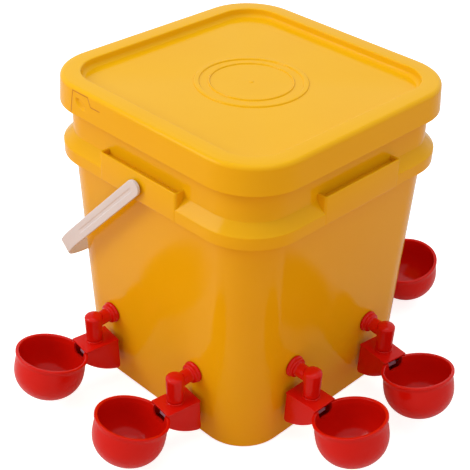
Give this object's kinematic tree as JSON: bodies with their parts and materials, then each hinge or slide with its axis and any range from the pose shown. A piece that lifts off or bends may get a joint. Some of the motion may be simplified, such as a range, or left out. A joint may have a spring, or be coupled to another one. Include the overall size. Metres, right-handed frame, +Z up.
{
  "type": "poultry drinker",
  "caption": "Lidded square bucket with a swinging bail and automatic drinking cups on its sides, each fed by an elbow and shut by a float valve.",
  "frame": {"origin": "centre of the bucket's flat underside, on the surface that it stands on", "axes": "+Z up; -Y is the front, a side with a bail pivot and two cups; +X is the right side, also with two cups; -X is the side that the bail hangs on, with no cups"},
  "size_m": [0.3738, 0.4499, 0.313],
  "materials": {
    "yellow_plastic": "moulded polypropylene, soft gloss",
    "red_plastic": "moulded, soft gloss",
    "white_plastic": "moulded, satin",
    "float_plastic": "moulded, satin",
    "rubber": "matt",
    "pin_steel": "bright wire"
  },
  "bodies": {
    "bucket_body": {"bucket": "yellow_plastic", "elbow_front_left": "red_plastic", "washer_front_left": "rubber", "lock_nut_front_left": "red_plastic", "elbow_front_right": "red_plastic", "washer_front_right": "rubber", "lock_nut_front_right": "red_plastic", "elbow_right_front": "red_plastic", "washer_right_front": "rubber", "lock_nut_right_front": "red_plastic", "elbow_right_back": "red_plastic", "washer_right_back": "rubber", "lock_nut_right_back": "red_plastic", "elbow_back_right": "red_plastic", "washer_back_right": "rubber", "lock_nut_back_right": "red_plastic", "elbow_back_left": "red_plastic", "washer_back_left": "rubber", "lock_nut_back_left": "red_plastic"},
    "lid_body": {"lid": "yellow_plastic", "lid_gasket": "rubber"},
    "bail_body": {"bail": "white_plastic", "bail_arm_front": "white_plastic", "bail_arm_back": "white_plastic"},
    "cup_body_front_left": {"cup_front_left": "red_plastic", "box_cover_front_left": "red_plastic", "hinge_pin_front_left": "pin_steel"},
    "lever_body_front_left": {"float_lever_front_left": "float_plastic"},
    "plunger_body_front_left": {"plunger_front_left": "rubber"},
    "cup_body_front_right": {"cup_front_right": "red_plastic", "box_cover_front_right": "red_plastic", "hinge_pin_front_right": "pin_steel"},
    "lever_body_front_right": {"float_lever_front_right": "float_plastic"},
    "plunger_body_front_right": {"plunger_front_right": "rubber"},
    "cup_body_right_front": {"cup_right_front": "red_plastic", "box_cover_right_front": "red_plastic", "hinge_pin_right_front": "pin_steel"},
    "lever_body_right_front": {"float_lever_right_front": "float_plastic"},
    "plunger_body_right_front": {"plunger_right_front": "rubber"},
    "cup_body_right_back": {"cup_right_back": "red_plastic", "box_cover_right_back": "red_plastic", "hinge_pin_right_back": "pin_steel"},
    "lever_body_right_back": {"float_lever_right_back": "float_plastic"},
    "plunger_body_right_back": {"plunger_right_back": "rubber"},
    "cup_body_back_right": {"cup_back_right": "red_plastic", "box_cover_back_right": "red_plastic", "hinge_pin_back_right": "pin_steel"},
    "lever_body_back_right": {"float_lever_back_right": "float_plastic"},
    "plunger_body_back_right": {"plunger_back_right": "rubber"},
    "cup_body_back_left": {"cup_back_left": "red_plastic", "box_cover_back_left": "red_plastic", "hinge_pin_back_left": "pin_steel"},
    "lever_body_back_left": {"float_lever_back_left": "float_plastic"},
    "plunger_body_back_left": {"plunger_back_left": "rubber"}
  },
  "joints": [
    {"name": "bail_swing", "type": "hinge", "parent": "bucket_body", "child": "bail_body", "pos_m": [0, 0, 0.25], "axis": [0, 1, 0], "range_deg": [0, 270]},
    {"name": "lid_lift", "type": "slide", "parent": "bucket_body", "child": "lid_body", "axis": [0, 0, 1], "range_m": [0, 0.04]},
    {"name": "cup_turn_front_left", "type": "hinge", "parent": "bucket_body", "child": "cup_body_front_left", "pos_m": [-0.0609, -0.14314, 0.0541], "axis": [0, 0, 1], "range_deg": [-20, 20]},
    {"name": "float_front_left", "type": "hinge", "parent": "cup_body_front_left", "child": "lever_body_front_left", "pos_m": [-0.06255, -0.15432, 0.0437], "axis": [0.9893, -0.1461, 0], "range_deg": [0, 11]},
    {"name": "valve_front_left", "type": "slide", "parent": "cup_body_front_left", "child": "plunger_body_front_left", "axis": [0, 0, 1], "range_m": [0, 0.0022]},
    {"name": "cup_turn_front_right", "type": "hinge", "parent": "bucket_body", "child": "cup_body_front_right", "pos_m": [0.0547, -0.14299, 0.0499], "axis": [0, 0, 1], "range_deg": [-20, 20]},
    {"name": "float_front_right", "type": "hinge", "parent": "cup_body_front_right", "child": "lever_body_front_right", "pos_m": [0.05325, -0.15419, 0.0395], "axis": [0.9917, -0.1288, 0], "range_deg": [0, 11]},
    {"name": "valve_front_right", "type": "slide", "parent": "cup_body_front_right", "child": "plunger_body_front_right", "axis": [0, 0, 1], "range_m": [0, 0.0022]},
    {"name": "cup_turn_right_front", "type": "hinge", "parent": "bucket_body", "child": "cup_body_right_front", "pos_m": [0.1434, -0.0571, 0.0609], "axis": [0, 0, 1], "range_deg": [-20, 20]},
    {"name": "float_right_front", "type": "hinge", "parent": "cup_body_right_front", "child": "lever_body_right_front", "pos_m": [0.1547, -0.05718, 0.0505], "axis": [0.007, 1, 0], "range_deg": [0, 11]},
    {"name": "valve_right_front", "type": "slide", "parent": "cup_body_right_front", "child": "plunger_body_right_front", "axis": [0, 0, 1], "range_m": [0, 0.0022]},
    {"name": "cup_turn_right_back", "type": "hinge", "parent": "bucket_body", "child": "cup_body_right_back", "pos_m": [0.14325, 0.0479, 0.0569], "axis": [0, 0, 1], "range_deg": [-20, 20]},
    {"name": "float_right_back", "type": "hinge", "parent": "cup_body_right_back", "child": "lever_body_right_back", "pos_m": [0.15444, 0.04633, 0.0465], "axis": [0.1392, 0.9903, 0], "range_deg": [0, 11]},
    {"name": "valve_right_back", "type": "slide", "parent": "cup_body_right_back", "child": "plunger_body_right_back", "axis": [0, 0, 1], "range_m": [0, 0.0022]},
    {"name": "cup_turn_back_right", "type": "hinge", "parent": "bucket_body", "child": "cup_body_back_right", "pos_m": [0.0602, 0.14293, 0.0485], "axis": [0, 0, 1], "range_deg": [-20, 20]},
    {"name": "float_back_right", "type": "hinge", "parent": "cup_body_back_right", "child": "lever_body_back_right", "pos_m": [0.0602, 0.15423, 0.0381], "axis": [-1, 0, 0], "range_deg": [0, 11]},
    {"name": "valve_back_right", "type": "slide", "parent": "cup_body_back_right", "child": "plunger_body_back_right", "axis": [0, 0, 1], "range_m": [0, 0.0022]},
    {"name": "cup_turn_back_left", "type": "hinge", "parent": "bucket_body", "child": "cup_body_back_left", "pos_m": [-0.0602, 0.14308, 0.0523], "axis": [0, 0, 1], "range_deg": [-20, 20]},
    {"name": "float_back_left", "type": "hinge", "parent": "cup_body_back_left", "child": "lever_body_back_left", "pos_m": [-0.0602, 0.15438, 0.0419], "axis": [-1, 0, 0], "range_deg": [0, 11]},
    {"name": "valve_back_left", "type": "slide", "parent": "cup_body_back_left", "child": "plunger_body_back_left", "axis": [0, 0, 1], "range_m": [0, 0.0022]}
  ],
  "couplings": [
    {"joint": "valve_front_left", "follows": "float_front_left", "m_per_rad": 0.011},
    {"joint": "valve_front_right", "follows": "float_front_right", "m_per_rad": 0.011},
    {"joint": "valve_right_front", "follows": "float_right_front", "m_per_rad": 0.011},
    {"joint": "valve_right_back", "follows": "float_right_back", "m_per_rad": 0.011},
    {"joint": "valve_back_right", "follows": "float_back_right", "m_per_rad": 0.011},
    {"joint": "valve_back_left", "follows": "float_back_left", "m_per_rad": 0.011}
  ]
}
